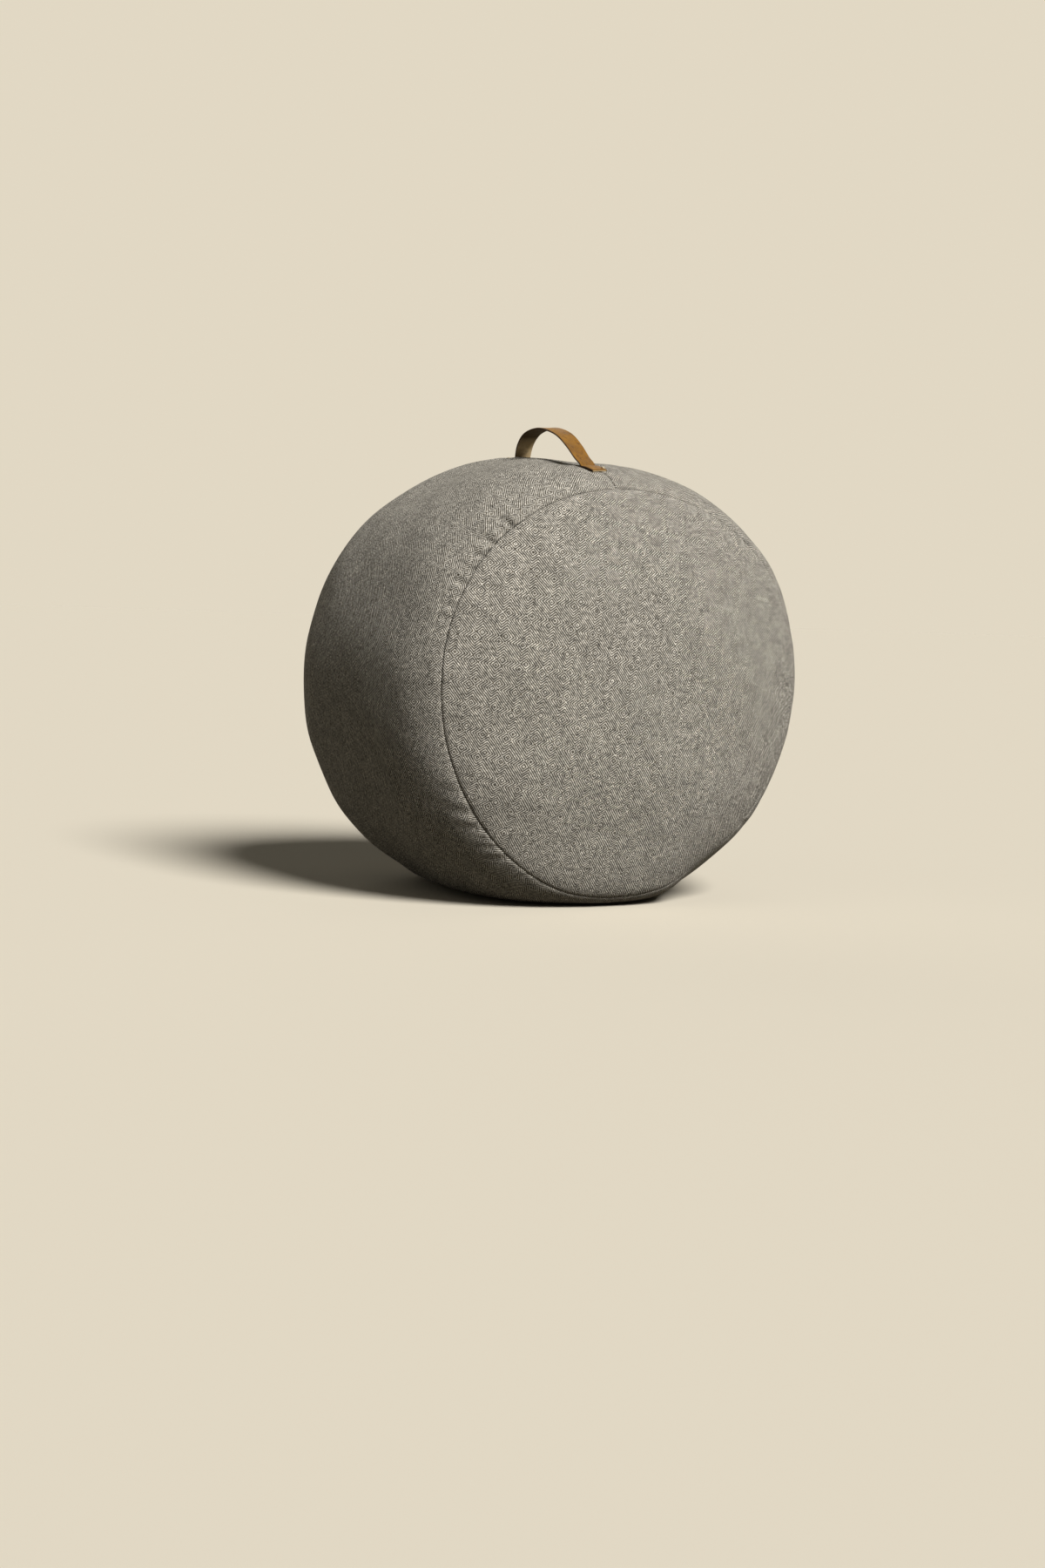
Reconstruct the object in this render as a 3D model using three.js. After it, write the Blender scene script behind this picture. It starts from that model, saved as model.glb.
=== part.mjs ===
// A round wool pouf standing on its rim, with its leather carrying handle on top.
// Units are millimetres, +Z is up and the floor is z = 0. The axis of the drum runs along Y,
// the front panel faces -Y, and the origin is the middle of the flat spot it stands on.

import * as THREE from "three";

// ---- Driving dimensions ------------------------------------------------------------------

const AXIS_HEIGHT = 231; // drum axis above the floor: the rim has sagged below the true round
const BAND_RADIUS = 259; // the side band at its fullest, half way between the two panels
const SEAM_RADIUS = 221; // the round seams that join the panels to the band
const HALF_BAND = 172; // from the middle of the band to each round seam
const BAND_FULLNESS = 3.5; // how late the band curves in to its seams: higher is flatter
const PANEL_CROWN = 44; // how far a panel domes out past its seam
const PANEL_FULLNESS = 2.4;

const SEAM_TUCK = 4; // how deep the stitching draws the cloth in at a round seam
const SEAM_TUCK_WIDTH = 6;
const SEAM_GAP = 0.3; // clearance between sewn pieces

const SAG_SOFTNESS = 24; // height over which the round eases into the flat spot

// The filling has settled a little out of round: share of the radius, by waves per turn.
const UNEVENNESS = [
  { waves: 2, cosine: -0.002, sine: 0.008 },
  { waves: 3, cosine: 0.005, sine: 0.015 },
];

const STRAP_WIDTH = 24;
const STRAP_THICKNESS = 2.6;
const STRAP_TAB = 24; // length sewn flat to the band at each end
const STRAP_TURN = THREE.MathUtils.degToRad(5.4); // from straight up, round the drum

// The arch of the strap from its back foot to its front foot: place along the band, and
// height of the underside over the cloth. It stands steeply at the back and slopes in front.
const STRAP_ARCH = [
  { along: 32, rise: 0 },
  { along: 25, rise: 16 },
  { along: 10, rise: 25.5 },
  { along: -18, rise: 29.5 },
  { along: -50, rise: 24 },
  { along: -78, rise: 13.5 },
  { along: -100, rise: 4 },
  { along: -115, rise: 0 },
];

// ---- Facets ------------------------------------------------------------------------------

const TURN_STEPS = 80;
const BAND_STEPS = 19;
const PANEL_STEPS = 9;
const TAB_STEPS = 4;
const ARCH_STEPS = 30;
const STRAP_WIDTH_STEPS = 4;

// ---- The filled form ---------------------------------------------------------------------

function roundness(angle) {
  const waves = UNEVENNESS.map(
    (w) => w.cosine * Math.cos(w.waves * angle) + w.sine * Math.sin(w.waves * angle),
  );
  return 1 + waves.reduce((sum, wave) => sum + wave, 0);
}

// The greater of a height and the floor, eased where the two meet.
function settle(height) {
  const share = THREE.MathUtils.clamp(0.5 + (0.5 * height) / SAG_SOFTNESS, 0, 1);
  return height * share + SAG_SOFTNESS * share * (1 - share);
}

// A point of the form: radius and turn about the axis, and place along it.
function formPoint(radius, angle, along) {
  const r = radius * roundness(angle);
  const height = settle(AXIS_HEIGHT + r * Math.sin(angle));
  return new THREE.Vector3(r * Math.cos(angle), along, height);
}

// 1 at a seam, fading to 0 away from it.
function seamPull(distance) {
  return Math.exp(-distance / SEAM_TUCK_WIDTH);
}

function bandRadius(along) {
  const reach = Math.min(Math.abs(along) / HALF_BAND, 1);
  const crown = (BAND_RADIUS - SEAM_RADIUS) * (1 - reach ** BAND_FULLNESS);
  return SEAM_RADIUS + crown - SEAM_TUCK * seamPull(HALF_BAND * (1 - reach));
}

const PANEL_RIM = SEAM_RADIUS - SEAM_TUCK;

// How far a panel stands out past its seam, at a radius.
function panelHeight(radius) {
  const crown = PANEL_CROWN * (1 - (radius / SEAM_RADIUS) ** PANEL_FULLNESS);
  return crown * (1 - seamPull(PANEL_RIM - radius));
}

// ---- Mesh helpers ------------------------------------------------------------------------

function closedMesh(name, points, triangles, material) {
  const geometry = new THREE.BufferGeometry();
  geometry.setFromPoints(points);
  geometry.setIndex(triangles);
  geometry.computeVertexNormals();
  const mesh = new THREE.Mesh(geometry, material);
  mesh.name = name;
  return mesh;
}

// A solid of rings about the drum's axis, each { radius, along }, from the back to the front,
// closed by a point at each end.
function ringSolid(name, rings, backCentre, frontCentre, material) {
  const points = [backCentre];
  for (const ring of rings) {
    for (let i = 0; i < TURN_STEPS; i += 1) {
      const angle = ((i + 0.5) / TURN_STEPS) * 2 * Math.PI;
      points.push(formPoint(ring.radius, angle, ring.along));
    }
  }
  points.push(frontCentre);

  const triangles = [];
  const at = (ring, i) => 1 + ring * TURN_STEPS + (i % TURN_STEPS);
  const frontPoint = points.length - 1;
  const frontRing = rings.length - 1;
  for (let i = 0; i < TURN_STEPS; i += 1) {
    triangles.push(0, at(0, i + 1), at(0, i));
    for (let ring = 0; ring < frontRing; ring += 1) {
      triangles.push(at(ring, i), at(ring, i + 1), at(ring + 1, i));
      triangles.push(at(ring, i + 1), at(ring + 1, i + 1), at(ring + 1, i));
    }
    triangles.push(frontPoint, at(frontRing, i), at(frontRing, i + 1));
  }
  return closedMesh(name, points, triangles, material);
}

// ---- Pieces ------------------------------------------------------------------------------

const wool = new THREE.MeshStandardMaterial({ color: 0x9a9383, roughness: 0.95, metalness: 0 });
const leather = new THREE.MeshStandardMaterial({ color: 0xa9783f, roughness: 0.6, metalness: 0 });

function sideBand() {
  const end = HALF_BAND - SEAM_GAP / 2;
  // Mostly sine-spaced, so that the rings are closer together towards the seams.
  const rings = Array.from({ length: BAND_STEPS + 1 }, (_, i) => {
    const t = 1 - (2 * i) / BAND_STEPS;
    const along = end * THREE.MathUtils.lerp(t, Math.sin((t * Math.PI) / 2), 0.8);
    return { radius: bandRadius(along), along };
  });
  const back = new THREE.Vector3(0, end, AXIS_HEIGHT);
  const front = new THREE.Vector3(0, -end, AXIS_HEIGHT);
  return ringSolid("side_band", rings, back, front, wool);
}

// One crowned panel: side is -1 for the front one and 1 for the back one.
function panel(name, side) {
  const base = HALF_BAND + SEAM_GAP / 2;
  const rings = Array.from({ length: PANEL_STEPS }, (_, i) => {
    const radius = PANEL_RIM * Math.cos(((i / PANEL_STEPS) * Math.PI) / 2);
    return { radius, along: side * (base + panelHeight(radius)) };
  });
  const flat = new THREE.Vector3(0, side * base, AXIS_HEIGHT);
  const crown = new THREE.Vector3(0, side * (base + panelHeight(0)), AXIS_HEIGHT);
  return side < 0
    ? ringSolid(name, rings, flat, crown, wool)
    : ringSolid(name, rings.reverse(), crown, flat, wool);
}

// The line of the strap's underside, as { along, radius }, from the back tab to the front one.
function strapLine() {
  const onCloth = (along, rise) => ({ along, radius: bandRadius(along) + SEAM_GAP + rise });
  const arch = new THREE.SplineCurve(
    STRAP_ARCH.map(({ along, rise }) => new THREE.Vector2(along, rise)),
  );
  const backFoot = STRAP_ARCH[0].along;
  const frontFoot = STRAP_ARCH[STRAP_ARCH.length - 1].along;
  const tab = Array.from({ length: TAB_STEPS }, (_, i) => STRAP_TAB * (1 - i / TAB_STEPS));
  return [
    ...tab.map((reach) => onCloth(backFoot + reach, 0)),
    ...arch.getSpacedPoints(ARCH_STEPS).map((p) => onCloth(p.x, Math.max(p.y, 0))),
    ...tab.reverse().map((reach) => onCloth(frontFoot - reach, 0)),
  ];
}

// The same line moved out by the strap's thickness, square to its own run.
function offsetLine(line, thickness) {
  return line.map(({ along, radius }, i) => {
    const before = line[Math.max(i - 1, 0)];
    const after = line[Math.min(i + 1, line.length - 1)];
    const run = new THREE.Vector2(after.along - before.along, after.radius - before.radius);
    run.normalize();
    return { along: along + run.y * thickness, radius: radius - run.x * thickness };
  });
}

function strapHandle() {
  const under = strapLine();
  const over = offsetLine(under, STRAP_THICKNESS);
  const across = Array.from(
    { length: STRAP_WIDTH_STEPS + 1 },
    (_, i) => STRAP_WIDTH * (0.5 - i / STRAP_WIDTH_STEPS),
  );
  const points = [...under, ...over].flatMap(({ along, radius }) =>
    across.map((x) => formPoint(radius, Math.PI / 2 + STRAP_TURN - x / BAND_RADIUS, along)),
  );

  const low = (i, j) => i * across.length + j;
  const high = (i, j) => low(under.length + i, j);
  const triangles = [];
  const quad = (a, b, c, d) => triangles.push(a, b, c, a, c, d);
  const lastRow = under.length - 1;
  const lastColumn = across.length - 1;
  for (let i = 0; i < lastRow; i += 1) {
    for (let j = 0; j < lastColumn; j += 1) {
      quad(low(i, j), low(i + 1, j), low(i + 1, j + 1), low(i, j + 1));
      quad(high(i, j), high(i, j + 1), high(i + 1, j + 1), high(i + 1, j));
    }
    quad(low(i, 0), high(i, 0), high(i + 1, 0), low(i + 1, 0));
    quad(low(i, lastColumn), low(i + 1, lastColumn), high(i + 1, lastColumn), high(i, lastColumn));
  }
  for (let j = 0; j < lastColumn; j += 1) {
    quad(low(0, j), low(0, j + 1), high(0, j + 1), high(0, j));
    quad(low(lastRow, j), high(lastRow, j), high(lastRow, j + 1), low(lastRow, j + 1));
  }
  return closedMesh("strap_handle", points, triangles, leather);
}

const pouf = new THREE.Group();
pouf.add(sideBand(), panel("front_panel", -1), panel("back_panel", 1), strapHandle());

export default pouf;
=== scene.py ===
# %% [markdown]
# # A round wool pouf with a leather carrying strap
# A pouf is a drum of sewn cloth, packed tight with filling. Two round panels are joined to a side
# band by two round seams, and a leather strap is sewn to the band, to carry it by. This one stands
# on its rim, as a wheel does. It could be built from nothing, but a CAD model already says where each
# piece is, so that model is loaded first, and every new piece is put where its solid is.

# %% Load the frame
import math

import bpy
import numpy as np
from mathutils import Matrix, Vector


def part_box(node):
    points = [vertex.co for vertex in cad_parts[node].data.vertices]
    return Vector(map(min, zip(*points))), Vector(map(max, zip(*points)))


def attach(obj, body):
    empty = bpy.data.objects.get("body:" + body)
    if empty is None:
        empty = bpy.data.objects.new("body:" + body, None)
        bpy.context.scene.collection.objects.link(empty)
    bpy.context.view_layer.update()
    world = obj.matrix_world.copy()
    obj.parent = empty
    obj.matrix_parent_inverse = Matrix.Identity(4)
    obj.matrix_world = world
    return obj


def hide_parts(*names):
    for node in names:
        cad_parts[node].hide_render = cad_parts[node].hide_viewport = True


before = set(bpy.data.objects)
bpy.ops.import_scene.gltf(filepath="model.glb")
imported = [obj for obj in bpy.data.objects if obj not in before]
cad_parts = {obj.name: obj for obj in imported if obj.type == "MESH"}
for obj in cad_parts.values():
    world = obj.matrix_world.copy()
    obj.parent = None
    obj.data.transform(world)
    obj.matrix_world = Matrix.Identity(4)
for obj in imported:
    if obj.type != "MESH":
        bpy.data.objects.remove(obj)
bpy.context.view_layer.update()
print("CAD nodes:", sorted(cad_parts))

# %% [markdown]
# ## The measures
# The filled form is a drum, about half a metre across. Its middle is larger than its two seams,
# because the filling pushes the band out, and the round panels hold its edges in. The band's length
# and the height of the dome could be written as numbers, but they are read from the CAD boxes, so
# that the looks still fit if the solids change. All lengths are in metres.

# %% Sizes of the filled form
MM = 0.001
panel_low, panel_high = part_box("front_panel")
HALF_BAND = -panel_high.y
PANEL_CROWN = panel_high.y - panel_low.y
BAND_RADIUS = 259 * MM
SEAM_RADIUS = 221 * MM
print(f"half band {HALF_BAND / MM:.1f} mm, panel crown {PANEL_CROWN / MM:.1f} mm")

# %% [markdown]
# ## One profile for the whole cover
# Cut through its axis, the cover is a single line: from the middle of the band, over the seam, to the
# middle of a panel. Three separate shapes could be modelled and joined, but one line, kept with its
# arc length, gives three things at once: the surface, the way straight out of the cloth, and how far
# along the cloth each point lies. The weave follows the last one, as cloth is woven flat.

# %% The profile line
BAND_FULLNESS = 3.5
PANEL_FULLNESS = 2.4
PROFILE_STEPS = 400


def profile_line():
    """Arc length from the middle of the band, with the radius and the reach along the axis."""
    reach = np.linspace(0, HALF_BAND, PROFILE_STEPS)
    crown = (BAND_RADIUS - SEAM_RADIUS) * (1 - (reach / HALF_BAND) ** BAND_FULLNESS)
    radius = np.linspace(SEAM_RADIUS, 0, PROFILE_STEPS)[1:]
    dome = PANEL_CROWN * (1 - (radius / SEAM_RADIUS) ** PANEL_FULLNESS)
    radii = np.concatenate([SEAM_RADIUS + crown, radius])
    reaches = np.concatenate([reach, HALF_BAND + dome])
    steps = np.hypot(np.diff(radii), np.diff(reaches))
    return np.concatenate([[0], np.cumsum(steps)]), radii, reaches


ARC, RADII, REACHES = profile_line()
BAND_REACH = float(ARC[PROFILE_STEPS - 1])
PANEL_REACH = float(ARC[-1]) - BAND_REACH
print(f"band {2000 * BAND_REACH:.0f} mm over its crown, panel {2000 * PANEL_REACH:.0f} mm across")

# %% [markdown]
# ## A point on the profile
# Where the band meets a panel, the line has a corner, but cloth over a filling bends in a small curve.
# The corner could be bevelled afterwards. Averaging the line over a few millimetres on each side of a
# point rounds it at once, and the ends of that short piece give the direction of the cloth there.

# %% Reading the profile
SEAM_ROUNDING = 4 * MM
SAMPLES = 9


def profile_at(arc):
    """Radius, Y and outward direction (radial, Y) at arc lengths from the band's middle."""
    side = np.where(arc < 0, -1.0, 1.0)
    samples = np.abs(arc)[:, None] + np.linspace(-1, 1, SAMPLES) * SEAM_ROUNDING
    over_middle = np.where(samples < 0, -1.0, 1.0)
    past_centre = np.where(samples > ARC[-1], -1.0, 1.0)
    samples = np.abs(samples)
    samples = np.where(samples > ARC[-1], 2 * ARC[-1] - samples, samples)
    radius = np.interp(samples, ARC, RADII) * past_centre
    reach = np.interp(samples, ARC, REACHES) * over_middle
    run_r = radius[:, -1] - radius[:, 0]
    run_y = reach[:, -1] - reach[:, 0]
    size = np.hypot(run_r, run_y)
    return radius.mean(axis=1), reach.mean(axis=1) * side, run_y / size, -run_r / size * side


seam_radius, seam_reach, *_ = profile_at(np.array([BAND_REACH]))
print(f"rounded seam: radius {seam_radius[0] / MM:.1f} mm, reach {seam_reach[0] / MM:.1f} mm")

# %% [markdown]
# ## Turning the profile into the settled round
# The filling sinks a little under its own weight, so the drum isn't a true circle, and it is flat
# where it stands. A physics simulation could find that form. Here each radius is scaled by a slow
# wave around the turn, and what lies near the floor is eased up on to it: two short formulas, which
# give the same form each time.

# %% From turn and profile to a point in space
AXIS_HEIGHT = 231 * MM
SAG_SOFTNESS = 24 * MM
# Waves round the turn, cosine share, sine share.
UNEVENNESS = [(2, -0.002, 0.008), (3, 0.005, 0.015)]


def roundness(turn):
    return 1 + sum(c * np.cos(n * turn) + s * np.sin(n * turn) for n, c, s in UNEVENNESS)


def settle(height):
    share = np.clip(0.5 + 0.5 * height / SAG_SOFTNESS, 0, 1)
    return height * share + SAG_SOFTNESS * share * (1 - share)


def form_point(radius, turn, y):
    r = radius * roundness(turn)
    height = settle(AXIS_HEIGHT + r * np.sin(turn))
    return np.stack(np.broadcast_arrays(r * np.cos(turn), y, height), axis=-1)


print("top of the band, mm:", round(form_point(BAND_RADIUS, math.pi / 2, 0.0)[2] / MM))

# %% [markdown]
# ## Swells and dents
# The filling is never even. It makes a few broad swells and dents, such as the hollow under the
# strap, where hands have pulled, and the corners that tuck up where the drum leaves the floor. They
# could be pushed in with a sculpting brush. A list of soft round bumps does the same, and each one
# can be moved or deepened on its own.

# %% Broad swells and dents
# Turn in degrees, Y, reach round the turn, reach along Y, height: all in mm.
SWELLS = [
    (75, -110, 66, 50, -5.0),
    (35, -148, 35, 50, 2.0),
    (14, -155, 50, 50, -3.3),
    (338, -155, 50, 50, -3.5),
    (312, -145, 60, 50, -3.5),
    (100, 55, 42, 42, 4.0),
    (162, 135, 50, 50, -2.5),
    (193, 130, 50, 55, 3.8),
    (225, 110, 35, 50, -2.5),
    (87, -44, 34, 48, -9.0),
    (97, -84, 34, 38, -7.5),
    (237, 85, 38, 60, -11.0),
    (299, -145, 44, 55, -6.0),
    (155, -72, 64, 58, -4.5),
    (172, -150, 55, 30, 3.0),
    (214, -100, 45, 36, 3.5),
]


def turned_from(turn, centre):
    """How far a turn is from another one, the short way round."""
    return (turn - centre + math.pi) % (2 * math.pi) - math.pi


def swell(turn, y):
    height = 0
    for at, place, round_reach, along_reach, high in SWELLS:
        across = turned_from(turn, math.radians(at)) * BAND_RADIUS / (round_reach * MM)
        along = (y - place * MM) / (along_reach * MM)
        height = height + high * MM * np.exp(-(across**2) - along**2)
    return height


print(len(SWELLS), "broad swells and dents")

# %% [markdown]
# ## Lumps
# Over the whole cloth the filling makes shallow lumps, a hand's breadth wide. A noise texture could
# displace the mesh. A few sine waves, each with its own direction and length, add up to much the
# same unevenness, and run on smoothly from the band over the seams to the panels.

# %% Lumps of the filling
chance = np.random.default_rng(7)
LUMPS = 26
LUMP_DEPTH = 0.25 * MM
lump_size = chance.uniform(70, 190, LUMPS) * MM
lump_facing = chance.normal(size=(LUMPS, 3))
lump_facing /= np.linalg.norm(lump_facing, axis=1, keepdims=True)
lump_phase = chance.uniform(0, 2 * math.pi, LUMPS)


def lumps(points):
    height = np.zeros(points.shape[:-1])
    for wave, phase in zip(2 * math.pi * lump_facing / lump_size[:, None], lump_phase):
        height += np.sin(points @ wave + phase)
    return LUMP_DEPTH * height


print(f"{LUMPS} waves of lumps, each {LUMP_DEPTH / MM} mm high")

# %% [markdown]
# ## Gathers
# The band is longer than the seam that it is sewn to, so its edge is gathered: short furrows run away
# from the seam, most of them faint, a few of them deep. Cloth simulation would gather it somewhere.
# Here each furrow is one row of a table, so that it lies where it should, with a low ridge on each
# side of it, because the cloth that sinks in has to rise next to it.

# %% Gathers along a seam
# Turn in degrees, length, half width and depth in mm, and slant as mm of turn per mm of distance.
DEEP_GATHERS = [
    (101.0, 10, 3.5, 0.5, 0.1),
    (118.5, 15, 3.2, 0.7, 0.1),
    (125.5, 20, 3.2, 1.3, -0.15),
    (129.9, 24, 2.3, 3.2, 0.0),
    (137.0, 25, 3.8, 3.6, 0.10),
    (142.0, 18, 2.6, 2.0, 0.1),
    (146.3, 15, 2.4, 2.0, 0.1),
    (151.0, 17, 2.8, 2.1, 0.0),
    (157.5, 16, 2.6, 1.7, 0.0),
    (161.0, 12, 2.2, 1.2, 0.1),
    (209.5, 26, 4.0, 0.6, -0.5),
    (215.7, 34, 4.2, 0.9, -0.5),
    (221.2, 30, 3.8, 0.9, -0.55),
    (224.8, 20, 3.2, 0.7, -0.6),
    (227.6, 20, 3.2, 0.8, -0.5),
    (232.0, 18, 3.2, 0.8, -0.5),
    (240.0, 14, 3.2, 0.6, -0.3),
    (44.0, 24, 3.6, 0.9, 0.1),
    (33.0, 20, 3.4, 0.7, -0.15),
    (16.0, 22, 3.6, 0.7, 0.1),
    (318.0, 24, 3.6, 0.9, 0.2),
    (329.0, 18, 3.2, 0.7, -0.1),
]
FINE_GATHERS = 90
# The lowest and the highest of the same five values, for a fine gather.
FINE_LOW = (0, 6, 2.2, 0.05, -0.3)
FINE_HIGH = (360, 16, 3.6, 0.28, 0.3)
GATHER_FAN = 25 * MM
RIDGE_PLACE = 1.9
RIDGE_SHARE = 0.5
# The back seam has the same deep gathers, turned on by this many degrees.
BACK_SHIFT = 71


def fine_gathers(seed):
    pick = np.random.default_rng(seed)
    return [tuple(pick.uniform(FINE_LOW, FINE_HIGH)) for _ in range(FINE_GATHERS)]


def gathers(turn, distance, table):
    """Depth of the furrows, at turns round the drum and distances from the seam."""
    depth = np.zeros(np.broadcast(turn, distance).shape)
    for at, length, width, deep, slant in table:
        aside = turned_from(turn, math.radians(at)) * SEAM_RADIUS - slant * distance
        x = aside / (width * MM * (1 + distance / GATHER_FAN))
        ridges = np.exp(-((x - RIDGE_PLACE) ** 2)) + np.exp(-((x + RIDGE_PLACE) ** 2))
        furrow = np.exp(-(x**2)) - RIDGE_SHARE * ridges
        depth += deep * MM * furrow * np.exp(-((distance / (length * MM)) ** 2))
    return depth


FRONT_GATHERS = DEEP_GATHERS + fine_gathers(11)
BACK_GATHERS = [(at + BACK_SHIFT, *rest) for at, *rest in DEEP_GATHERS] + fine_gathers(12)
print(len(FRONT_GATHERS), "gathers at the front seam,", len(BACK_GATHERS), "at the back seam")

# %% [markdown]
# ## The slit and the roll of a round seam
# The stitches pull two layers of cloth in, so each seam is a narrow slit between two soft rolls. It
# stands open where the filling strains it, and lies tight and almost unseen on the other side of the
# drum. A real slit keeps its shade in any light, and the wool's colour is also darkened in the fold
# where the seam stands open: painted shade along the slit.

# %% Slit and roll
SLIT_DEPTH = 2.6 * MM
SLIT_WIDTH = 0.8 * MM
OPEN_TURN = math.radians(172)
# How many waves go round the turn, how high they are, and where they start.
OPEN_WAVES = [(9, 0.12, 0), (31, 0.1, 1)]
ROLL_DEPTH = 3.6 * MM
ROLL_WIDTH = 9 * MM
LOOSE_TURN = math.radians(160)
LOOSE_REACH = math.radians(24)
LOOSE_SHARE = 0.45


def waves(turn, table):
    return sum(high * np.sin(count * turn + start) for count, high, start in table)


def seam_open(turn):
    """1 where the filling pulls a seam open, 0 where its two sides lie tight together."""
    slow = 0.5 + 0.5 * np.cos(turn - OPEN_TURN)
    return np.clip(slow + waves(turn, OPEN_WAVES), 0, 1)


def seam_dip(turn, distance):
    slit = SLIT_DEPTH * seam_open(turn) * np.exp(-np.sqrt(distance / SLIT_WIDTH))
    loose = np.exp(-((turned_from(turn, LOOSE_TURN) / LOOSE_REACH) ** 2))
    return slit + ROLL_DEPTH * (1 - LOOSE_SHARE * loose) * np.exp(-distance / ROLL_WIDTH)


print(f"a slit of {SLIT_DEPTH / MM} mm and a roll of {ROLL_DEPTH / MM} mm")

# %% [markdown]
# ## The line that a seam takes
# A seam is sewn by eye, so its line wanders by a millimetre or two, and by more where the cloth was
# eased in. The points of the mesh could be nudged one by one. A sum of waves, with a few wider
# shifts on top, moves the whole edge along the drum's axis, and fades away from the seam.

# %% The wandering of a seam
WANDER_REACH = 45 * MM
# Turn in degrees, reach in degrees, shift along Y in mm (front seam: minus is towards the panel).
WANDERS = [(196, 16, 3.0), (238, 14, -4.5), (116, 9, 2.0), (127, 5, -1.2), (135, 5, 2.0), (20, 25, 1.5)]
WANDER_WAVES = [(5, 0.5, 0), (13, 0.35, 2), (29, 0.25, 4)]
# The back seam takes the same line, this many radians later.
BACK_LAG = 1.2


def seam_wander(turn):
    shift = waves(turn, WANDER_WAVES)
    for at, reach, far in WANDERS:
        shift = shift + far * np.exp(-((turned_from(turn, math.radians(at)) / math.radians(reach)) ** 2))
    return shift * MM


every_degree = np.radians(np.arange(360))
print(f"a seam wanders by up to {np.abs(seam_wander(every_degree)).max() / MM:.1f} mm")

# %% [markdown]
# ## The seam across the band
# The band is one strip of cloth, and its two ends are sewn together under the strap, where the seam
# is least in the way. It is straight and carries little strain. It could be modelled as a gap between
# two pieces, but a fine groove with a low roll beside it is what shows of such a seam.

# %% The cross seam
CROSS_SEAM = math.radians(94.9)
CROSS_DEPTH = 1.3 * MM
CROSS_WIDTH = 0.8 * MM
CROSS_ROLL = 1.2 * MM
CROSS_REACH = 5 * MM


def from_cross_seam(turn):
    return np.abs(turned_from(turn, CROSS_SEAM)) * BAND_RADIUS


def cross_seam_dip(turn):
    aside = from_cross_seam(turn)
    return CROSS_DEPTH * np.exp(-((aside / CROSS_WIDTH) ** 2)) + CROSS_ROLL * np.exp(-aside / CROSS_REACH)


print(f"the cross seam lies {math.degrees(CROSS_SEAM):.1f} degrees round, {CROSS_DEPTH / MM} mm deep")

# %% [markdown]
# ## The beds of the strap's ends
# Each end of the strap is stitched down flat, and the stitches pull it into the soft band, so it lies
# in a shallow bed. Without the beds, the ends would look laid on. They could be cut with a boolean,
# but cloth isn't cut there: it gives way, so the bed is a smooth dip, round each end's outline.

# %% Strap ends and their beds
STRAP_TURN = math.radians(95.4)
STRAP_WIDTH = 24 * MM
STRAP_TAB = 24 * MM
FRONT_FOOT = -115 * MM
BACK_FOOT = 32 * MM
FRONT_BED = 2.0 * MM
BACK_BED = 3.4 * MM
TAB_PULL = 4 * MM


def tab_bed(turn, y):
    """How deep the cloth is pulled in where the strap's ends are stitched down."""
    aside = np.abs(turned_from(turn, STRAP_TURN)) * BAND_RADIUS - STRAP_WIDTH / 2
    past_front = np.maximum(y - FRONT_FOOT, FRONT_FOOT - STRAP_TAB - y)
    past_back = np.maximum(y - BACK_FOOT - STRAP_TAB, BACK_FOOT - y)
    beds = 0
    for deep, beyond in ((FRONT_BED, past_front), (BACK_BED, past_back)):
        away = np.hypot(np.maximum(aside, 0), np.maximum(beyond, 0))
        beds = beds + deep * np.exp(-((away / TAB_PULL) ** 2))
    return beds


print(f"beds {FRONT_BED / MM} and {BACK_BED / MM} mm deep")

# %% [markdown]
# ## The dressed surface
# Now everything is put together: a point of the plain form is moved along the cloth's own direction
# by the lumps, the swells, the gathers, the seams and the beds. Modifiers could be stacked for this.
# One function keeps them in step, so the band and a panel, which share a seam, meet along it.

# %% The dressed surface
# How near to a seam, and to the middle of the strap, the lumps are held down.
HELD_REACH = 14 * MM
STRAP_BED = 22 * MM
# How far from a seam gathers reach, and swells on a panel, and a panel's share of the gathers.
GATHER_REACH = 75 * MM
PANEL_SWELL_REACH = 40 * MM
PANEL_SHARE = 0.22


def cloth_surface(turn, arc):
    """Points of the cloth for every turn (rows) and arc length (columns); minus is the front."""
    radius, y, out_r, out_y = profile_at(arc)
    on_band = np.abs(arc) <= BAND_REACH
    distance = np.abs(np.abs(arc) - BAND_REACH)[None, :]
    turns = turn[:, None]
    smooth = form_point(radius[None, :], turns, y[None, :])
    held = 1 - np.exp(-distance / HELD_REACH)
    from_strap = turned_from(turns, STRAP_TURN) * BAND_RADIUS / STRAP_BED
    held = held * (1 - on_band * np.exp(-(from_strap**4)))
    offset = lumps(smooth) * held - seam_dip(turns, distance)
    share = np.where(on_band, 1.0, PANEL_SHARE)
    near = distance[0] < GATHER_REACH
    for side, table in ((-1, FRONT_GATHERS), (1, BACK_GATHERS)):
        here = near & (np.sign(arc) == side)
        offset[:, here] -= share[here] * gathers(turns, distance[:, here], table)
    along = y[None, on_band]
    offset[:, on_band] += swell(turns, along) - cross_seam_dip(turns) - tab_bed(turns, along)
    fading = np.exp(-distance[:, ~on_band] / PANEL_SWELL_REACH)
    offset[:, ~on_band] += swell(turns, y[None, ~on_band]) * fading
    side = np.sign(arc)[None, :]
    wander = -side * seam_wander(turns - BACK_LAG * (side > 0)) * np.exp(-distance / WANDER_REACH)
    moved_r = radius[None, :] + out_r[None, :] * offset
    moved_y = y[None, :] + out_y[None, :] * offset + wander
    return form_point(moved_r, turns, moved_y)


middle_ring = cloth_surface(every_degree, np.array([0.0]))
print("the band's middle stands", round(middle_ring[..., 2].max() / MM), "mm high")

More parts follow.
